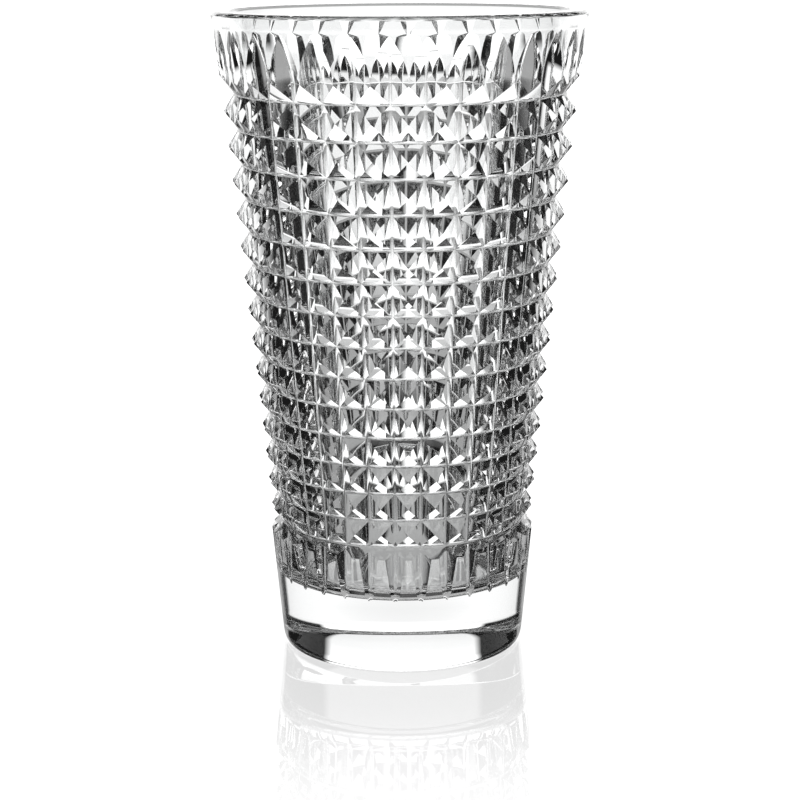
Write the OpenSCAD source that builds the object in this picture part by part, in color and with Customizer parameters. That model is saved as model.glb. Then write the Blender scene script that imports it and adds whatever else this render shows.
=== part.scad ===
// Cut crystal vase: a tall flared tumbler of clear lead crystal with a thick solid base.
// Its wall is cut all over with rows of small four-sided pyramids, the diamonds, between upright
// grooves and ring grooves. Above them the upright grooves run out in pointed flames below a
// plain lip, and below them they run out in narrow tails above the plain base.
// The real vase is a single casting. The nodes are zones of that one piece: each meets the next
// face to face on a level plane, and nothing moves or comes apart.
// Millimetres, +Z up, origin at the centre of the underside.

/* [Blank] */
// Overall height
height = 250; // [247:0.5:253]
// Radius of the straight outer cone at table level
foot_r = 47.8; // [47.4:0.1:48.2]
// Outward lean of the outer cone, radius gained per millimetre of height
lean = 0.0955; // [0.0945:0.0005:0.0965]
// Width of the rounded edge round the foot
heel_width = 1.7; // [1:0.1:3]
// Height of the rounded edge round the foot
heel_height = 4.5; // [1:0.5:6]
// Level plane where the carved collar meets the plain lip
lip_z = 244; // [243.5:0.5:245]
// Extra outward flare at the very top of the lip
lip_flare = 0.6; // [0:0.1:1]
// Rounding of the lip's outer and inner corners
lip_corner_r = 1.7; // [0.8:0.1:2.4]

/* [Cavity] */
// Thickness of the solid base below the cavity
base_t = 27; // [22:0.5:28]
// Cavity radius at the floor, before its rounded corner
floor_r = 39.5; // [36:0.5:41]
// Cavity radius at the rim
mouth_r = 65.3; // [64:0.1:66]
// Radius of the rounded corner between the cavity's floor and its wall
cove_r = 9; // [6:0.5:12]
// Slope, in degrees, at which that corner reaches the floor
cove_angle = 25; // [15:1:35]

/* [Cuts] */
// Number of upright grooves round the vase
columns = 32; // [32:2:40]
// Number of rows of diamonds
rows = 14; // [10:1:14]
// Rise of a groove's wall for each millimetre away from the groove's middle
wheel_slope = 0.66; // [0.62:0.005:0.68]
// Width of the narrow floor that the wheel's blunt edge leaves in each groove
wheel_flat = 0.7; // [0.6:0.1:1.2]
// Height up to which the upright grooves are at full depth
cut_top = 225.6; // [223:0.2:227]
// Outward lean of the grooves' floors
groove_lean = 0.0942; // [0.092:0.0002:0.098]
// Height of a row of diamonds as a share of the groove radius at its top
row_share = 0.2129; // [0.2:0.001:0.213]

/* [Flames and tails] */
// Height of the pointed tops of the flames
flame_tip = 242.9; // [238:0.1:243]
// Height where the last ring groove runs out to the plain lands
tail_top = 46.4; // [46:0.1:47]
// Radius of the upright groove floors between the tails' lands
tail_r = 49.9; // [49.7:0.05:50]
// Height where the tails start to lift out of the glass
tail_bend = 33.5; // [32:0.1:36]
// Height where the tails end
tail_end = 29.3; // [28.5:0.1:30]

/* [Hidden] */
$fn = 128;
glass = [0.90, 0.93, 0.95, 0.55];
half_step = 180 / columns;
flat = wheel_flat / 2;
// Share of the outer radius that is left in the groove floors when neighbouring walls just meet
meet = cos(half_step) - wheel_slope * sin(half_step);
full_depth = blank_r(cut_top) * (1 - meet) - wheel_slope * flat;
floor_r0 = blank_r(cut_top) - full_depth - groove_lean * cut_top;
row_ratio = 1 - row_share * groove_lean;
first_ring = (cut_top - row_share * floor_r0 / 2) / (1 + row_share * groove_lean / 2);
last_ring = ring_z(rows);
flame_steps = 8;
tail_steps = 4;
arc_steps = 6;

// Outer radius of the uncut blank
function blank_r(z) = foot_r + lean * z;
// Radius of the cavity
function cavity_r(z) = floor_r + (mouth_r - floor_r) * (z - base_t) / (height - base_t);
// Radius of the groove floors among the diamonds
function groove_r(z) = floor_r0 + groove_lean * z;
// Radius at which the walls of neighbouring upright grooves meet
function tip_r(z) = (groove_r(z) - wheel_slope * flat) / meet;
// Height of ring groove j. The rows shrink with the radius, so every diamond has one shape.
function ring_z(j) = first_ring - groove_r(first_ring) * (1 - pow(row_ratio, j)) / groove_lean;
// Floor of an upright groove in a flame, lifting out along the wheel's round edge
function flame_floor(z) =
    blank_r(z) - full_depth * (1 - pow((z - cut_top) / (flame_tip - cut_top), 2));
// Floor of an upright groove in a tail: level with the axis, then lifting out
function tail_floor(z) = z >= tail_bend ? tail_r
    : blank_r(z) - (blank_r(tail_bend) - tail_r) * (1 - pow((tail_bend - z) / (tail_bend - tail_end), 2));
// Distance from a groove's middle to the line where its wall meets the blank
function edge_x(z, groove_floor) =
    let (c = groove_floor - wheel_slope * flat, s = wheel_slope)
    (sqrt(pow(s * c, 2) - (1 + s * s) * (c * c - pow(blank_r(z), 2))) - s * c) / (1 + s * s);

// A point by groove k: x runs round the vase from the groove's middle, y out from the axis
function at(k, x, y, z) =
    let (a = k * 2 * half_step)
    [y * cos(a) - x * sin(a), y * sin(a) + x * cos(a), z];

// A level is [height, kind, groove floor radius]. Its kind says which points it has by each
// groove: "ring" the two edges of the groove's floor, "peak" those and the diamond's tip,
// "open" those, the groove's two outer edges and the middle of the land, "plain" two points
// on the blank.
function level_points(level) =
    let (z = level[0], kind = level[1], y = level[2], r = blank_r(z))
    [for (k = [0 : columns - 1]) each sector_points(k, z, kind, y, r)];
function sector_points(k, z, kind, y, r) =
    let (e = kind == "open" ? edge_x(z, y) : 0, f = kind == "open" ? min(flat, 0.6 * e) : flat)
    kind == "ring" ? [at(k, -f, y, z), at(k, f, y, z)]
    : kind == "peak" ? [at(k, -f, y, z), at(k, f, y, z), at(k + 0.5, 0, tip_r(z), z)]
    : kind == "open" ? [
        at(k, -e, sqrt(r * r - e * e), z), at(k, -f, y, z), at(k, f, y, z),
        at(k, e, sqrt(r * r - e * e), z), at(k + 0.5, 0, r, z)]
    : [at(k, 0, r, z), at(k + 0.5, 0, r, z)];
// Which point of a level stands at each of the five places of a sector, so that levels of
// different kinds join: places that share a point close up to a triangle or to nothing.
function places(kind) = kind == "ring" ? [0, 0, 1, 1, 1]
    : kind == "peak" ? [-1, 0, 1, 2, 2]
    : kind == "open" ? [0, 1, 2, 3, 4]
    : [0, 0, 0, 0, 1];
function sector_size(kind) = kind == "peak" ? 3 : kind == "open" ? 5 : 2;
function level_start(levels, i) =
    i == 0 ? 0 : level_start(levels, i - 1) + columns * sector_size(levels[i - 1][1]);
function index(levels, i, k, place) =
    let (kind = levels[i][1], size = sector_size(kind), own = places(kind)[place % 5])
    level_start(levels, i) + (k * size + own + (place == 5 ? size : 0) + columns * size) % (columns * size);
function whole(face) = face[0] != face[1] && face[1] != face[2] && face[2] != face[0];
function side_faces(levels) = [
    for (i = [0 : len(levels) - 2], k = [0 : columns - 1], place = [0 : 4])
    let (
        a = index(levels, i, k, place), b = index(levels, i, k, place + 1),
        c = index(levels, i + 1, k, place + 1), d = index(levels, i + 1, k, place))
    each [for (face = [[a, c, b], [a, d, c]]) if (whole(face)) face]];
function cap_faces(levels) =
    let (
        last = len(levels) - 1,
        low = columns * sector_size(levels[0][1]),
        start = level_start(levels, last),
        high = columns * sector_size(levels[last][1]))
    [[for (i = [0 : low - 1]) i], [for (i = [high - 1 : -1 : 0]) start + i]];

// Points along an arc, by centre, radius and first and last angle
function arc(cx, cy, r, from, to) =
    [for (i = [0 : arc_steps]) let (a = from + (to - from) * i / arc_steps) [cx + r * cos(a), cy + r * sin(a)]];

// Levels from the bottom up, floor edges of a ring groove and a row of diamonds each
function ring_levels(z) = [
    [z - flat, "ring", groove_r(z - flat)],
    [z + flat, "ring", groove_r(z + flat)]];
function peak_level(j) =
    let (z = (ring_z(j) + ring_z(j + 1)) / 2)
    [z, "peak", groove_r(z)];

wall_levels = [
    [last_ring, "ring", groove_r(last_ring)],
    [last_ring + flat, "ring", groove_r(last_ring + flat)],
    for (j = [rows - 1 : -1 : 0]) each [
        peak_level(j),
        if (j > 0) each ring_levels(ring_z(j))],
    [first_ring - flat, "ring", groove_r(first_ring - flat)],
    [first_ring, "ring", groove_r(first_ring)]];

collar_levels = [
    [first_ring, "ring", groove_r(first_ring)],
    [first_ring + flat, "ring", groove_r(first_ring + flat)],
    [cut_top, "peak", groove_r(cut_top)],
    for (i = [1 : flame_steps - 1])
    let (z = cut_top + (flame_tip - cut_top) * sin(90 * i / flame_steps))
    [z, "open", flame_floor(z)],
    [flame_tip, "plain", 0],
    [lip_z, "plain", 0]];

// Height at which the last ring groove's lower wall has risen to the tails' groove floors
ring_floor_y = groove_r(last_ring - flat) * cos(half_step) + flat * sin(half_step);
tail_floor_y = tail_r * cos(half_step) + flat * sin(half_step);
tail_start = last_ring - flat
    - (last_ring - flat - tail_top) * (tail_floor_y - ring_floor_y) / (blank_r(tail_top) - ring_floor_y);
tail_levels = [
    [base_t, "plain", 0],
    [tail_end, "plain", 0],
    for (i = [tail_steps - 1 : -1 : 0])
    let (z = tail_bend - (tail_bend - tail_end) * sin(90 * i / tail_steps))
    [z, "open", tail_floor(z)],
    [(tail_bend + tail_top) / 2, "open", tail_r],
    [tail_top, "open", tail_r],
    [tail_start, "ring", tail_r],
    [last_ring - flat, "ring", groove_r(last_ring - flat)],
    [last_ring, "ring", groove_r(last_ring)]];

// Solid whose side follows a list of levels
module cut_solid(levels) {
    polyhedron(
        points = [for (level = levels) each level_points(level)],
        faces = concat(side_faces(levels), cap_faces(levels)));
}

// Space inside the vase. It runs a little below the floor and above the rim to cut cleanly.
module cavity() {
    over = 2;
    cove_z = base_t + cove_r * cos(cove_angle);
    cove_x = cavity_r(cove_z) - cove_r;
    rotate_extrude()
        polygon(concat(
            [[0, base_t - over], [cove_x + cove_r * sin(cove_angle), base_t - over]],
            arc(cove_x, cove_z, cove_r, cove_angle - 90, 0),
            [[cavity_r(height + over), height + over], [0, height + over]]));
}

// Plain lip with two rounded corners and a slight flare
module rim_lip() {
    top_r = blank_r(height) + lip_flare;
    c = lip_corner_r;
    color(glass)
        rotate_extrude()
            polygon(concat(
                [[cavity_r(lip_z), lip_z], [blank_r(lip_z), lip_z]],
                arc(top_r - c, height - c, c, 0, 90),
                arc(cavity_r(height - c) + c, height - c, c, 90, 180)));
}

// Collar that carries the flames, down to the middle of the first ring groove
module flame_collar() {
    color(glass)
        difference() {
            cut_solid(collar_levels);
            cavity();
        }
}

// Wall between the first and the last ring groove, cut all over with diamonds
module diamond_wall() {
    color(glass)
        difference() {
            cut_solid(wall_levels);
            cavity();
        }
}

// Band below the last ring groove, with the tails and the lands between them
module tail_band() {
    color(glass)
        difference() {
            cut_solid(tail_levels);
            cavity();
        }
}

// Plain solid base: its top is the cavity's floor, and its underside stands on the table
module base_block() {
    heel_x = blank_r(heel_height) - heel_width;
    heel = [for (point = arc(0, heel_height, 1, -90, 0))
        [heel_x + heel_width * point[0], heel_height * (1 + point[1] - heel_height)]];
    color(glass)
        rotate_extrude()
            polygon(concat([[0, 0]], heel, [[blank_r(base_t), base_t], [0, base_t]]));
}

rim_lip();
flame_collar();
diamond_wall();
tail_band();
base_block();
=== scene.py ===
"""Looks of the cut crystal vase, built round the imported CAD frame.

The vase is one casting, so it is one seamless mesh here. Three kinds of surface carve its outside:
the blank's smooth cone, upright grooves and ring grooves. The mesh follows the lines where they
meet, and every corner of a face takes its normal from the surface that the face lies on, so
diamonds' upright sides stay flat and groove floors stay round. Metres, +Z up, origin at the
underside's centre.
"""

import math

import bmesh
import bpy
import numpy as np
from mathutils import Matrix, Vector


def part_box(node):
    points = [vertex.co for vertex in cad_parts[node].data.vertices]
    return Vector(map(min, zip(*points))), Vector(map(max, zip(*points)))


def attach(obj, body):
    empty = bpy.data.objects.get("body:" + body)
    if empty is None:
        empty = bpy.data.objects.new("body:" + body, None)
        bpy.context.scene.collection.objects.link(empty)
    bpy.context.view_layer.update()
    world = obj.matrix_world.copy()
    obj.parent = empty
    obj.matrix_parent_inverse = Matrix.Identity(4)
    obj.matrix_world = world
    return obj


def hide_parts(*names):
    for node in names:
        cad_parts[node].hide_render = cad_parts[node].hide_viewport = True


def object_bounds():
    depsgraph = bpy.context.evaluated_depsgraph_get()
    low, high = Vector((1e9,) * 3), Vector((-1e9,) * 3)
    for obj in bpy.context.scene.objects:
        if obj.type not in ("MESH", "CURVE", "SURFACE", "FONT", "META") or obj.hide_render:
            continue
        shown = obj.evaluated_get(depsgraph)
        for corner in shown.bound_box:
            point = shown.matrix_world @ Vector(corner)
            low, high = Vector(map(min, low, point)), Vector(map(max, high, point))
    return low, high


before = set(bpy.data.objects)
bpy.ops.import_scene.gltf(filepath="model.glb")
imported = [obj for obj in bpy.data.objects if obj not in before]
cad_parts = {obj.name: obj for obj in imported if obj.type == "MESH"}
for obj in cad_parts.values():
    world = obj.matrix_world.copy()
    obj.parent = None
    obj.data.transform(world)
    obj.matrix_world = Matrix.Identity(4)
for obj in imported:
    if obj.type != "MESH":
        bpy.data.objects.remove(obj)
cad_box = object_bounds()

# ---- Sizes that the frame gives -------------------------------------------------------------
HEIGHT = cad_box[1].z
BASE_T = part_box("base_block")[1].z
FIRST_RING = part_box("diamond_wall")[1].z
LIP_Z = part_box("rim_lip")[0].z
TOP_R = min(abs(corner[axis]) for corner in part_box("rim_lip") for axis in (0, 1))

# ---- Sizes that repeat the design -----------------------------------------------------------
MM = 0.001
FOOT_R = 47.8 * MM
LEAN = 0.0955
HEEL_WIDTH = 1.7 * MM
HEEL_HEIGHT = 4.5 * MM
LIP_CORNER_R = 1.7 * MM
FLOOR_R = 39.5 * MM
MOUTH_R = 65.3 * MM
COVE_R = 9.0 * MM
COLUMNS = 32
ROWS = 14
WHEEL_SLOPE = 0.66
WHEEL_FLAT = 0.7 * MM
CUT_TOP = 225.6 * MM
GROOVE_LEAN = 0.0942
ROW_SHARE = 0.2129
FLAME_TIP = 242.9 * MM
TAIL_TOP = 46.4 * MM
TAIL_R = 49.9 * MM
TAIL_BEND = 33.5 * MM
TAIL_END = 29.3 * MM

HALF = math.pi / COLUMNS  # half the angle from one upright groove to the next
FLAT = WHEEL_FLAT / 2
ROUND = WHEEL_FLAT  # a groove's floor is round this far to each side of its middle
# share of the outer radius that is left in the groove floors when neighbouring walls just meet
MEET = math.cos(HALF) - WHEEL_SLOPE * math.sin(HALF)

# ---- Fineness of the mesh -------------------------------------------------------------------
HEEL_STEPS = 8
TAIL_STEPS = 8
FLAME_STEPS = 12
LIP_STEPS = 6
WALL_STEPS = 24
COVE_STEPS = 16
HALVINGS = 40  # steps of a search by halving
STEP = 0.01 * MM  # step for measuring a slope

# ---- Polished ridges ------------------------------------------------------------------------
RIDGE = 0.35 * MM  # a ridge is bevelled this far to each side
SHORTEST_RIDGE = 0.5 * MM
BLUNTEST_RIDGE = math.radians(12)
BEVEL_TAG = 7  # the faces' surface tags: 0 plain, 1 to 6 carved, 7 bevelled


def blank_r(z):
    """Outer radius of the uncut blank."""
    return FOOT_R + LEAN * z


FULL_DEPTH = blank_r(CUT_TOP) * (1 - MEET) - WHEEL_SLOPE * FLAT
FLOOR_R0 = blank_r(CUT_TOP) - FULL_DEPTH - GROOVE_LEAN * CUT_TOP
ROW_RATIO = 1 - ROW_SHARE * GROOVE_LEAN


def groove_r(z):
    """Radius of the groove floors among the diamonds."""
    return FLOOR_R0 + GROOVE_LEAN * z


def tip_r(z):
    """Radius at which the sides of neighbouring upright grooves meet."""
    return (groove_r(z) - WHEEL_SLOPE * FLAT) / MEET


def ring_z(j):
    """Height of ring groove j, counted down from the top one."""
    return FIRST_RING - groove_r(FIRST_RING) * (1 - ROW_RATIO**j) / GROOVE_LEAN


LAST_RING = ring_z(ROWS)


def cavity_r(z):
    """Radius of the cavity's straight wall."""
    return FLOOR_R + (MOUTH_R - FLOOR_R) * (z - BASE_T) / (HEIGHT - BASE_T)


def upright_floor(z):
    """Floor of the upright grooves: lifting out of the glass in the flames and in the tails."""
    if z > CUT_TOP:
        t = (z - CUT_TOP) / (FLAME_TIP - CUT_TOP)
        return blank_r(z) - FULL_DEPTH * (1 - t * t)
    if z >= LAST_RING:
        return groove_r(z)
    if z >= TAIL_BEND:
        return TAIL_R
    t = (TAIL_BEND - z) / (TAIL_BEND - TAIL_END)
    return blank_r(z) - (blank_r(TAIL_BEND) - TAIL_R) * (1 - t * t)


def wheel(x):
    """How far a groove's side stands above its floor, at a distance x from its middle."""
    x = abs(x)
    return WHEEL_SLOPE * (x * x / (2 * ROUND) if x < ROUND else x - FLAT)


class Ring:
    """A ring groove, cut while the vase turns against the wheel."""

    def __init__(self, z, above, below):
        """above and below are the (height, radius) where its two walls end."""
        self.z = z
        self.floor = groove_r(z)
        self.walls = {1: self.wall(1, *above), -1: self.wall(-1, *below)}

    def wall(self, side, end_z, end_r):
        """Radius and slope where the round floor joins a wall. The wall aims at its foot's corner."""
        foot_z = self.z + side * FLAT
        foot_r = groove_r(foot_z)
        slope = (end_r - foot_r) / (end_z - foot_z)
        return foot_r + slope * side * (ROUND - FLAT), slope

    def radius(self, z):
        """Radius at a height. A cubic curve joins the floor to each wall without a corner."""
        side = 1 if z >= self.z else -1
        join, slope = self.walls[side]
        t = abs(z - self.z) / ROUND
        if t >= 1:
            return join + slope * side * ROUND * (t - 1)
        rise, start, end = join - self.floor, GROOVE_LEAN * side * ROUND, slope * side * ROUND
        square, cube = 3 * rise - 2 * start - end, start + end - 2 * rise
        return self.floor + start * t + square * t**2 + cube * t**3


def peak(j):
    """Height and radius of the diamonds' tips between rings j and j + 1."""
    z = (ring_z(j) + ring_z(j + 1)) / 2
    return z, tip_r(z)


rings = []
for j in range(ROWS + 1):
    above = peak(j - 1) if j else (CUT_TOP, blank_r(CUT_TOP))
    below = peak(j) if j < ROWS else (TAIL_TOP, blank_r(TAIL_TOP))
    rings.append(Ring(ring_z(j), above, below))


def ring_at(z):
    """The ring groove whose middle is nearest to a height."""
    return min(rings, key=lambda ring: abs(ring.z - z))


# ---- Surfaces -------------------------------------------------------------------------------
# Each gives how far it lies outside a point, and its normal there. Points are in the frame of
# groove 0: x runs round the vase from the groove's middle and y runs out from the axis.
def turn(x, y, angle):
    """A point or direction turned about the axis."""
    return x * math.cos(angle) - y * math.sin(angle), x * math.sin(angle) + y * math.cos(angle)


def upright_surface(x, y, z):
    tilt = (upright_floor(z + STEP) - upright_floor(z - STEP)) / (2 * STEP)
    side = WHEEL_SLOPE * max(-1.0, min(1.0, x / ROUND))
    return upright_floor(z) + wheel(x) - y, (-side, 1.0, -tilt)


def ring_surface(x, y, z):
    ring = ring_at(z)
    r = math.hypot(x, y)
    tilt = (ring.radius(z + STEP) - ring.radius(z - STEP)) / (2 * STEP)
    return ring.radius(z) - r, (x / r, y / r, -tilt)


def blank_surface(x, y, z):
    r = math.hypot(x, y)
    return blank_r(z) - r, (x / r, y / r, -LEAN)


SURFACES = (upright_surface, ring_surface, blank_surface)


def lowest_surface(point):
    """The surface that cuts deepest at a point: the one that the glass ends on there."""
    return min(SURFACES, key=lambda surface: surface(*point)[0])


# ---- Levels ---------------------------------------------------------------------------------
# A level is a closed row of points round the vase. Each sector, from one upright groove's middle
# to the next, has thirteen places, and a kind of level says which of its points stands at each.
# Places that share a point close up, so levels of different kinds join without a gap.
PLACES = {
    "ring": tuple(range(13)),
    "peak": (0, 1, 2, 3, 4, 4, 4, 4, 4, 5, 6, 7, 8),
    "open": tuple(range(13)),
    "plain": (0, 0, 0, 0, 0, 1, 2, 3, 4, 4, 4, 4, 4),
}
MIDDLE = 6  # the place at the sector's middle
FLOOR_X = [ROUND * i / 3 for i in range(4)]


def round_point(angle, r):
    """The point at a radius, at an angle from the groove's middle."""
    return r * math.sin(angle), r * math.cos(angle)


def edge_x(z):
    """Distance from a groove's middle to the line where its side meets the blank."""
    low, high = 0.0, blank_r(z) * math.sin(HALF)
    for _ in range(HALVINGS):
        x = (low + high) / 2
        if math.hypot(x, upright_floor(z) + wheel(x)) < blank_r(z):
            low = x
        else:
            high = x
    return low


def groove_point(x, z):
    """A point on an upright groove's side, lowered to a ring groove that cuts deeper there."""
    y = upright_floor(z) + wheel(x)
    angle = math.atan2(x, y)
    r = min(math.hypot(x, y), ring_at(z).radius(z))
    return round_point(angle, r)


def half_sector(z, kind, r):
    """Points from a groove's middle to the sector's middle."""
    if kind == "plain":
        return [round_point(angle, r) for angle in (0, HALF / 2, HALF)]
    if kind == "ring":
        r = ring_at(z).radius(z)
        first = math.asin(ROUND / r)
        arc_angles = [first + (HALF - first) * share for share in (1 / 3, 2 / 3, 1)]
        return [groove_point(x, z) for x in FLOOR_X] + [round_point(a, r) for a in arc_angles]
    if kind == "peak":
        return [groove_point(x, z) for x in FLOOR_X] + [round_point(HALF, tip_r(z))]
    # where a flame or a tail is narrow, its floor's points draw in towards the groove's middle
    edge = edge_x(z)
    floor_x = [min(x, edge * i / len(FLOOR_X)) for i, x in enumerate(FLOOR_X)]
    edge_angle = math.asin(edge / blank_r(z))
    land_angles = (edge_angle, (edge_angle + HALF) / 2, HALF)
    floor_points = [(x, upright_floor(z) + wheel(x)) for x in floor_x]
    return floor_points + [round_point(angle, blank_r(z)) for angle in land_angles]


def sector_points(z, kind, r=None):
    """Points of groove 0's sector up to groove 1's middle. The second half mirrors the first."""
    half = half_sector(z, kind, r)
    return half + [turn(-x, y, -2 * HALF) for x, y in half[-2::-1]]


def crossing(ring, side, x):
    """Height at which a ring groove's wall reaches an upright groove's side at x."""
    near, far = ring.z, ring.z + side * 3 * MM
    for _ in range(HALVINGS):
        z = (near + far) / 2
        y = (groove_r(z) if ring.z > LAST_RING or side > 0 else TAIL_R) + wheel(x)
        if ring.radius(z) < math.hypot(x, y):
            near = z
        else:
            far = z
    return near


def levels_of_ring(ring):
    """Levels through a ring groove: on them, corners of the mesh fall where the grooves cross."""
    heights = [ring.z]
    for side in (-1, 1):
        marks = [crossing(ring, side, x) for x in FLOOR_X]
        if abs(marks[0] - ring.z) > 0.1 * MM:
            marks += [ring.z + (marks[0] - ring.z) * share for share in (1 / 3, 2 / 3)]
        else:
            marks = marks[1:]
        heights += marks
    return [(z, "ring") for z in sorted(heights)]


def arc(x, z, r, first, last, steps):
    """Turned levels along an arc in the (radius, height) plane."""
    angles = [math.radians(first + (last - first) * i / steps) for i in range(steps + 1)]
    return [(z + r * math.sin(a), "plain", x + r * math.cos(a)) for a in angles]


def fillet(radius_at, z, r):
    """Centre and last angle of an arc that starts level and ends on a leaning straight wall."""
    lean = math.atan((radius_at(z + MM) - radius_at(z)) / MM)
    return radius_at(z) - r / math.cos(lean), -math.degrees(lean)


COVE_X, COVE_END = fillet(cavity_r, BASE_T + COVE_R, COVE_R)
WALL_FOOT = BASE_T + COVE_R * (1 + math.sin(math.radians(COVE_END)))
LIP_X = TOP_R - LIP_CORNER_R
LIP_LOW = HEIGHT - LIP_CORNER_R


def eased(i, steps):
    """Share of a run-out, with its steps closer together towards the far end."""
    return math.sin(math.pi / 2 * i / steps)


# from the underside's edge up the outside, over the lip and down the cavity to its floor
levels = []
for i in range(HEEL_STEPS + 1):
    a = math.pi / 2 * i / HEEL_STEPS
    z = HEEL_HEIGHT * (1 - math.cos(a))
    levels.append((z, "plain", blank_r(z) - HEEL_WIDTH * (1 - math.sin(a))))
levels += [(z, "plain", blank_r(z)) for z in (10 * MM, 20 * MM, TAIL_END)]
for i in range(TAIL_STEPS - 1, -1, -1):
    levels.append((TAIL_BEND - (TAIL_BEND - TAIL_END) * eased(i, TAIL_STEPS), "open"))
levels += [(TAIL_BEND + (TAIL_TOP - TAIL_BEND) * i / 3, "open") for i in (1, 2, 3)]
for j in range(ROWS, -1, -1):
    levels += levels_of_ring(rings[j])
    levels.append((peak(j - 1)[0] if j else CUT_TOP, "peak"))
for i in range(1, FLAME_STEPS):
    levels.append((CUT_TOP + (FLAME_TIP - CUT_TOP) * eased(i, FLAME_STEPS), "open"))
levels += [(z, "plain", blank_r(z)) for z in (FLAME_TIP, LIP_Z)]
levels += arc(LIP_X, LIP_LOW, LIP_CORNER_R, 0, 90, LIP_STEPS)
levels += arc(cavity_r(LIP_LOW) + LIP_CORNER_R, LIP_LOW, LIP_CORNER_R, 90, 180, LIP_STEPS)
for i in range(1, WALL_STEPS):
    z = LIP_LOW + (WALL_FOOT - LIP_LOW) * i / WALL_STEPS
    levels.append((z, "plain", cavity_r(z)))
levels += arc(COVE_X, BASE_T + COVE_R, COVE_R, COVE_END, -90, COVE_STEPS)


# ---- One sector's faces, then all round -----------------------------------------------------
def turned_normals():
    """Normals of the plain levels as (outward, upward), from the slopes on both sides."""
    normals = {}
    for i, (z, kind, *r) in enumerate(levels):
        total = Vector((0, 0))
        for n in (i, i + 1):
            if 0 < n < len(levels) and levels[n - 1][1] == levels[n][1] == "plain":
                rise = levels[n][0] - levels[n - 1][0]
                run = levels[n][2] - levels[n - 1][2]
                total += Vector((rise, -run)).normalized()
        if kind == "plain":
            normals[i] = total.normalized()
    normals[0] = Vector((0, -1))
    normals[len(levels) - 1] = Vector((0, 1))
    return normals


def carved(i):
    """Whether the faces above level i lie on the carved wall."""
    return levels[i][1] != "plain" or levels[min(i + 1, len(levels) - 1)][1] != "plain"


def add_faces(strip, corner, tag):
    """Faces of one sector. Each quad is split along the line where the two grooves' sides cross."""
    for i in range(len(levels) - 1):
        middle = (levels[i][0] + levels[i + 1][0]) / 2
        above = middle > ring_at(middle).z
        for place in range(PLACES["open"][-1]):
            far_half = place >= MIDDLE
            a, b = corner(i, place), corner(i, place + 1)
            d, c = corner(i + 1, place), corner(i + 1, place + 1)
            for points in ((a, b, d), (b, c, d)) if above == far_half else ((a, b, c), (a, c, d)):
                if len(set(points)) < 3:
                    continue
                face = strip.faces.new(points)
                if not carved(i):
                    continue
                centre = face.calc_center_median()
                if far_half:
                    centre = Vector((*turn(centre.x, centre.y, 2 * HALF), centre.z))
                surface = SURFACES.index(lowest_surface(centre))
                face[tag] = 1 + surface + (len(SURFACES) if far_half else 0)


def surface_normal(face_tag, centre, point):
    """Normal at a face's corner, of the surface that the face lies on."""
    to_own_groove = 2 * HALF if face_tag > len(SURFACES) else 0
    # a hair towards the face's middle, so that a bend in the surface counts on the right side
    near = point + (centre - point) * 0.01
    surface = SURFACES[(face_tag - 1) % len(SURFACES)]
    across, out, up = surface(*turn(near.x, near.y, to_own_groove), near.z)[1]
    return Vector((*turn(across, out, -to_own_groove), up)).normalized()


def make_strip():
    """One sector as corner positions, faces, the faces' corner normals and the border tags."""
    strip = bmesh.new()
    tag = strip.faces.layers.int.new("surface")
    # on the sector's two borders a corner's tag is its level counted from 1, negative on the far one
    border = strip.verts.layers.int.new("border")
    rows = []
    for i, level in enumerate(levels):
        row = [strip.verts.new((x, y, level[0])) for x, y in sector_points(*level)]
        row[0][border] = i + 1
        row[-1][border] = -i - 1
        rows.append(row)
    level_of = {v: i for i, row in enumerate(rows) for v in row}
    add_faces(strip, lambda i, place: rows[i][PLACES[levels[i][1]][place]], tag)
    plain = turned_normals()
    sharp = [
        edge
        for edge in strip.edges
        if len(edge.link_faces) == 2
        and edge.calc_length() > SHORTEST_RIDGE
        and not any(v[border] for v in edge.verts)
        and all(face[tag] for face in edge.link_faces)
        and edge.link_faces[0][tag] != edge.link_faces[1][tag]
        and edge.calc_face_angle() > BLUNTEST_RIDGE
    ]
    made = bmesh.ops.bevel(
        strip,
        geom=sharp,
        offset=RIDGE,
        offset_type="OFFSET",
        segments=1,
        profile=0.5,
        affect="EDGES",
        clamp_overlap=False,
    )
    for face in made["faces"]:
        face[tag] = BEVEL_TAG

    def corner_normal(face, v):
        """Normal at a face's corner. A bevel's corners take the mean of the faces that it joins."""
        if face[tag] == 0:
            out, up = plain[level_of[v]]
            r = math.hypot(v.co.x, v.co.y)
            return Vector((out * v.co.x / r, out * v.co.y / r, up))
        if face[tag] != BEVEL_TAG:
            return surface_normal(face[tag], face.calc_center_median(), v.co)
        joined = [f for f in v.link_faces if f[tag] != BEVEL_TAG]
        total = sum((corner_normal(f, v) for f in joined), Vector())
        return total.normalized() if joined else face.normal

    strip.normal_update()
    strip.verts.index_update()
    faces = [[v.index for v in face.verts] for face in strip.faces]
    normals = [corner_normal(face, v) for face in strip.faces for v in face.verts]
    points = [tuple(v.co) for v in strip.verts]
    borders = [v[border] for v in strip.verts]
    strip.free()
    return points, faces, normals, borders


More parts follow.
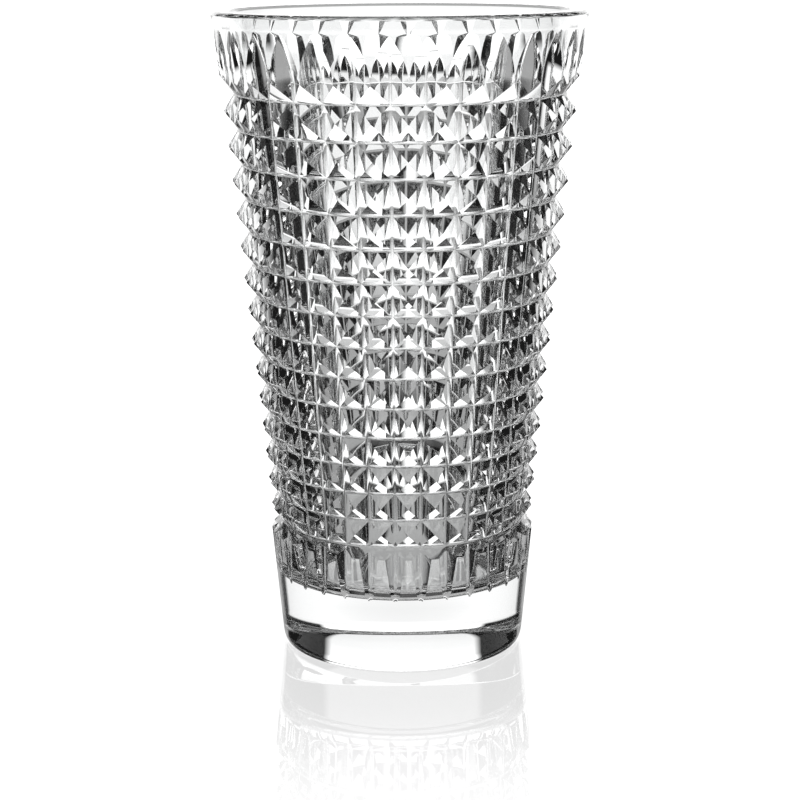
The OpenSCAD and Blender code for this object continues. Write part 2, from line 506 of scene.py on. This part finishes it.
def crystal_mesh(name):
    """The strip's copies all round the axis, joined at their borders and closed by two level caps."""
    points, faces, normals, borders = make_strip()
    # corners on the far border are the next sector's corners on its near one
    near = {level: i for i, level in enumerate(borders) if level > 0}
    own = [i for i, level in enumerate(borders) if level >= 0]
    place_of = {corner: n for n, corner in enumerate(own)}

    def index(k, corner):
        """Number of a corner of sector k in the whole mesh."""
        if borders[corner] < 0:
            return index(k + 1, near[-borders[corner]])
        return (k % COLUMNS) * len(own) + place_of[corner]

    def all_round(vectors):
        """Copies of vectors, one set for each sector. x turns to run towards growing angles."""
        x, y, z = np.array(vectors).T
        angles = np.arange(COLUMNS)[:, None] * 2 * HALF
        turned = (y * np.cos(angles) - x * np.sin(angles), y * np.sin(angles) + x * np.cos(angles))
        return np.stack([*turned, np.broadcast_to(z, turned[0].shape)], axis=-1).reshape(-1, 3)

    corners = all_round([points[i] for i in own])
    polygons = [[index(k, corner) for corner in face] for k in range(COLUMNS) for face in faces]
    loop_normals = all_round([tuple(n) for n in normals]).tolist()
    per_level = PLACES["plain"][-1]
    for level, facing in ((1, -1), (len(levels), 1)):
        cap = [index(k, near[level] + n) for k in range(COLUMNS) for n in range(per_level)]
        polygons.append(cap[::facing])
        loop_normals += [(0, 0, facing)] * len(cap)
    mesh = bpy.data.meshes.new(name)
    mesh.from_pydata(corners.tolist(), [], polygons)
    mesh.polygons.foreach_set("use_smooth", [True] * len(mesh.polygons))
    mesh.normals_split_custom_set(loop_normals)
    return mesh


# ---- Materials ------------------------------------------------------------------------------
def crystal_material():
    """Clear lead crystal, fully polished."""
    material = bpy.data.materials.new("crystal")
    material.use_nodes = True
    shader = material.node_tree.nodes["Principled BSDF"]
    shader.inputs["Base Color"].default_value = (0.985, 0.99, 0.99, 1)
    shader.inputs["Roughness"].default_value = 0.0
    shader.inputs["IOR"].default_value = 1.545
    shader.inputs["Transmission Weight"].default_value = 1.0
    return material


TABLE_HALF = 3.0
TABLE_GAP = 0.02 * MM  # keeps the table's surface off the underside
TABLE_IOR = 2.6  # sets how strongly the table mirrors the vase
# the table's glow dims between these radii towards the vase: painted soft shadow round it, which also
# lets the reflection show
PAINTED_SHADE_R = 70 * MM
SHADE_END_R = 210 * MM
SHADED_GLOW = 0.74
FULL_GLOW = 1.02


def table_material():
    """A mirror that glows white instead of being lit. Round the vase its glow is dimmed, a painted
    soft shadow that also lets the vase's reflection show.
    """
    material = bpy.data.materials.new("table")
    material.use_nodes = True
    tree = material.node_tree
    shader = tree.nodes["Principled BSDF"]
    shader.inputs["Base Color"].default_value = (0, 0, 0, 1)
    shader.inputs["Roughness"].default_value = 0.0
    shader.inputs["IOR"].default_value = TABLE_IOR
    # the table glows white instead of being lit by a lamp
    shader.inputs["Emission Color"].default_value = (1, 1, 1, 1)
    geometry = tree.nodes.new("ShaderNodeNewGeometry")
    distance = tree.nodes.new("ShaderNodeVectorMath")
    distance.operation = "LENGTH"
    tree.links.new(geometry.outputs["Position"], distance.inputs[0])
    # painted soft shadow: the glow is weakest near the vase and full far from it
    shade_ramp = tree.nodes.new("ShaderNodeMapRange")
    shade_ramp.interpolation_type = "SMOOTHSTEP"
    shade_ramp.inputs["From Min"].default_value = PAINTED_SHADE_R
    shade_ramp.inputs["From Max"].default_value = SHADE_END_R
    shade_ramp.inputs["To Min"].default_value = SHADED_GLOW
    shade_ramp.inputs["To Max"].default_value = FULL_GLOW
    tree.links.new(distance.outputs["Value"], shade_ramp.inputs["Value"])
    tree.links.new(shade_ramp.outputs["Result"], shader.inputs["Emission Strength"])
    return material


vase = bpy.data.objects.new("vase_crystal", crystal_mesh("vase_crystal"))
bpy.context.scene.collection.objects.link(vase)
vase.data.materials.append(crystal_material())
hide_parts("rim_lip", "flame_collar", "diamond_wall", "tail_band", "base_block")
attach(vase, "root")

# ---- Table ----------------------------------------------------------------------------------
table_mesh = bpy.data.meshes.new("table")
table_corners = [(x * TABLE_HALF, y * TABLE_HALF, 0) for x, y in ((-1, -1), (1, -1), (1, 1), (-1, 1))]
table_mesh.from_pydata(table_corners, [], [(0, 1, 2, 3)])
table = bpy.data.objects.new("table", table_mesh)
table.location.z = -TABLE_GAP
table_mesh.materials.append(table_material())
bpy.context.scene.collection.objects.link(table)
# the glass neither mirrors the table nor shows it, so the world's light reaches it from below too
table.visible_transmission = False
table.visible_glossy = False
table.visible_diffuse = False


# ---- Light ----------------------------------------------------------------------------------
CAMERA_R = 815.2 * MM
CAMERA_Z = 279.3 * MM
CAMERA_AZIMUTH = math.radians(3.086)
CAMERA_PITCH = math.radians(12.598)
CAMERA_ROLL = math.radians(-0.276)

SOFT_EDGE = 4  # degrees over which a panel fades out
BRIGHTEST = 1.6
DARKEST = 0.01
BACKDROP = 3.0  # clipped to BRIGHTEST, so the backdrop is an even white
# Share of the fill that the outside of the glass mirrors. Rays that come through glass get it all.
# No real studio does this: it keeps the front's dark edges and still lights the other views.
MIRRORED_FILL = 0.2


def world_nodes(tree):
    """White backdrop for the camera, and panels of light in the dark that only the glass shows.

    Panels stand in degrees from the photograph's viewing direction. They stay put in other views.
    """
    tree.nodes.clear()

    def make(kind, **values):
        """A new node with these settings."""
        node = tree.nodes.new(kind)
        for key, value in values.items():
            setattr(node, key, value)
        return node

    def maths(operation, *values, clamp=False):
        """Result of a Math node. Each value is a number or another node's result."""
        node = make("ShaderNodeMath", operation=operation, use_clamp=clamp)
        for socket, value in zip(node.inputs, values):
            if isinstance(value, (int, float)):
                socket.default_value = value
            else:
                tree.links.new(value, socket)
        return node.outputs[0]

    direction = make("ShaderNodeTexCoord").outputs["Generated"]
    around = make("ShaderNodeVectorRotate", rotation_type="Z_AXIS")
    around.inputs["Angle"].default_value = -CAMERA_AZIMUTH
    tree.links.new(direction, around.inputs["Vector"])
    parts = make("ShaderNodeSeparateXYZ")
    tree.links.new(around.outputs[0], parts.inputs[0])
    azimuth = maths("ABSOLUTE", maths("ARCTAN2", parts.outputs["X"], parts.outputs["Y"]))
    elevation = maths("ARCSINE", parts.outputs["Z"])

    def band(value, low, high):
        """One between two angles in degrees, fading out softly at both."""
        low, high, soft = (math.radians(degrees) for degrees in (low, high, SOFT_EDGE))
        rise = maths("DIVIDE", maths("SUBTRACT", value, low - soft / 2), soft, clamp=True)
        fall = maths("DIVIDE", maths("SUBTRACT", high + soft / 2, value), soft, clamp=True)
        return maths("MULTIPLY", rise, fall)

    def panel(half_width, low, high, strength, centre=0):
        """A bright panel. Away from the middle it has a twin on the other side."""
        sides = band(azimuth, centre - half_width, centre + half_width)
        return maths("MULTIPLY", maths("MULTIPLY", sides, band(elevation, low, high)), strength)

    def together(*parts):
        """Sum of several results."""
        total = parts[0]
        for part in parts[1:]:
            total = maths("ADD", total, part)
        return total

    screen = together(
        panel(30, -1, 18, 1.6),
        panel(30, 18, 40, 1.0),
        panel(60, -13, -1, 1.1),
        panel(30, -60, -13, 0.45),
    )
    fill = together(
        panel(30, -40, 22, 0.6, centre=180),
        panel(18, -13, 22, 0.4, centre=90),
        maths("MULTIPLY", band(elevation, -95, -60), 0.08),
        maths("MULTIPLY", band(elevation, 56, 95), 0.1),
    )
    path = make("ShaderNodeLightPath")
    through_glass = maths("MULTIPLY", path.outputs["Is Transmission Ray"], 1 - MIRRORED_FILL)
    seen_fill = maths("MULTIPLY", fill, maths("ADD", through_glass, MIRRORED_FILL))
    backdrop = maths("MULTIPLY", path.outputs["Is Camera Ray"], BACKDROP)
    light = together(screen, seen_fill, backdrop)
    strength = maths("MINIMUM", maths("ADD", light, DARKEST), BRIGHTEST)
    background = make("ShaderNodeBackground")
    background.inputs["Color"].default_value = (1, 1, 1, 1)
    tree.links.new(strength, background.inputs["Strength"])
    output = make("ShaderNodeOutputWorld")
    tree.links.new(background.outputs[0], output.inputs["Surface"])


world = bpy.data.worlds.new("studio")
world.use_nodes = True
world_nodes(world.node_tree)
bpy.context.scene.world = world

# ---- Camera ---------------------------------------------------------------------------------
camera_data = bpy.data.cameras.new("camera")
camera_data.sensor_width = 36
camera_data.lens = 94.59
camera_data.shift_x = -0.0019
camera = bpy.data.objects.new("camera", camera_data)
camera_x = CAMERA_R * math.sin(CAMERA_AZIMUTH)
camera_y = -CAMERA_R * math.cos(CAMERA_AZIMUTH)
stand = Matrix.Translation((camera_x, camera_y, CAMERA_Z))
heading = Matrix.Rotation(CAMERA_AZIMUTH, 4, "Z")
tilt = Matrix.Rotation(math.pi / 2 - CAMERA_PITCH, 4, "X")
roll = Matrix.Rotation(CAMERA_ROLL, 4, "Z")
camera.matrix_world = stand @ heading @ tilt @ roll
bpy.context.scene.collection.objects.link(camera)
bpy.context.scene.camera = camera

scene = bpy.context.scene
scene.view_settings.view_transform = "Standard"
scene.cycles.max_bounces = 32
scene.cycles.transmission_bounces = 32
scene.cycles.glossy_bounces = 16

bpy.context.view_layer.update()
